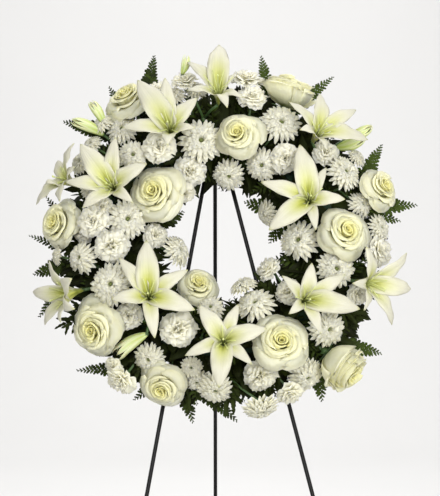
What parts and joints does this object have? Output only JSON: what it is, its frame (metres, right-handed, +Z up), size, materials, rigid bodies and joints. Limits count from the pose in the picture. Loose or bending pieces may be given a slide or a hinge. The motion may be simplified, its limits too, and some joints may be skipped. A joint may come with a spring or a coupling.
{
  "type": "standing funeral wreath",
  "caption": "Round standing wreath of white lilies, roses, chrysanthemums and carnations with fern, on a folding three-legged rod easel.",
  "frame": {"origin": "middle of the bounding box's base, on the floor among the three feet", "axes": "+Z up, -Y the side the flowers face, +X to the viewer's right when seen from the front"},
  "size_m": [0.7058, 0.732, 1.3382],
  "materials": {
    "satin_black_steel": "satin black paint",
    "zinc_pin": "dull zinc",
    "tray_plastic": "matt dark green",
    "floral_foam": "matt open-pored green",
    "fern_green": "leathery leaf",
    "lily_petal": "soft satin petal",
    "rose_petal": "soft matt petal",
    "chrysanthemum_petal": "soft matt petal",
    "carnation_petal": "soft matt petal"
  },
  "bodies": {
    "root": {"carnation_bottom_left": "carnation_petal", "carnation_top": "carnation_petal", "carnations_bottom_right": "carnation_petal", "carnations_inner_lower_left": "carnation_petal", "carnations_inner_right": "carnation_petal", "carnations_left": "carnation_petal", "carnations_right": "carnation_petal", "carnations_top_left": "carnation_petal", "carnations_upper_right": "carnation_petal", "chrysanthemum_lower_left": "chrysanthemum_petal", "chrysanthemums_bottom": "chrysanthemum_petal", "chrysanthemums_inner_bottom": "chrysanthemum_petal", "chrysanthemums_inner_left": "chrysanthemum_petal", "chrysanthemums_inner_right": "chrysanthemum_petal", "chrysanthemums_left": "chrysanthemum_petal", "chrysanthemums_lower_right": "chrysanthemum_petal", "chrysanthemums_right": "chrysanthemum_petal", "chrysanthemums_top": "chrysanthemum_petal", "chrysanthemums_top_left": "chrysanthemum_petal", "chrysanthemums_upper_left": "chrysanthemum_petal", "chrysanthemums_upper_right": "chrysanthemum_petal", "easel_head": "satin_black_steel", "fern_bottom": "fern_green", "fern_inner_left": "fern_green", "fern_inner_right": "fern_green", "fern_left": "fern_green", "fern_lower_right": "fern_green", "fern_right": "fern_green", "fern_upper_left": "fern_green", "fern_upper_right": "fern_green", "foam_ring": "floral_foam", "front_leg_left": "satin_black_steel", "front_leg_right": "satin_black_steel", "hinge_pin": "zinc_pin", "hook_bar": "satin_black_steel", "lily_bottom": "lily_petal", "lily_far_left": "lily_petal", "lily_far_right": "lily_petal", "lily_far_upper_left": "lily_petal", "lily_left": "lily_petal", "lily_lower_right": "lily_petal", "lily_right": "lily_petal", "lily_top": "lily_petal", "lily_top_left": "lily_petal", "lily_upper_left": "lily_petal", "lily_upper_right": "lily_petal", "ring_tray": "tray_plastic", "rose_bottom_left": "rose_petal", "rose_bottom_right": "rose_petal", "rose_far_left": "rose_petal", "rose_far_lower_right": "rose_petal", "rose_far_right": "rose_petal", "rose_far_upper_left": "rose_petal", "rose_inner_bottom": "rose_petal", "rose_lower_left": "rose_petal", "rose_right": "rose_petal", "rose_top_centre": "rose_petal", "rose_top_right": "rose_petal", "rose_upper_left": "rose_petal"},
    "back_leg": {"back_leg": "satin_black_steel"}
  },
  "joints": [
    {"name": "back_leg_hinge", "type": "hinge", "parent": "root", "child": "back_leg", "pos_m": [-0.01476, -0.05534, 1.17874], "axis": [-1, 0, 0], "range_deg": [0, 28]}
  ]
}
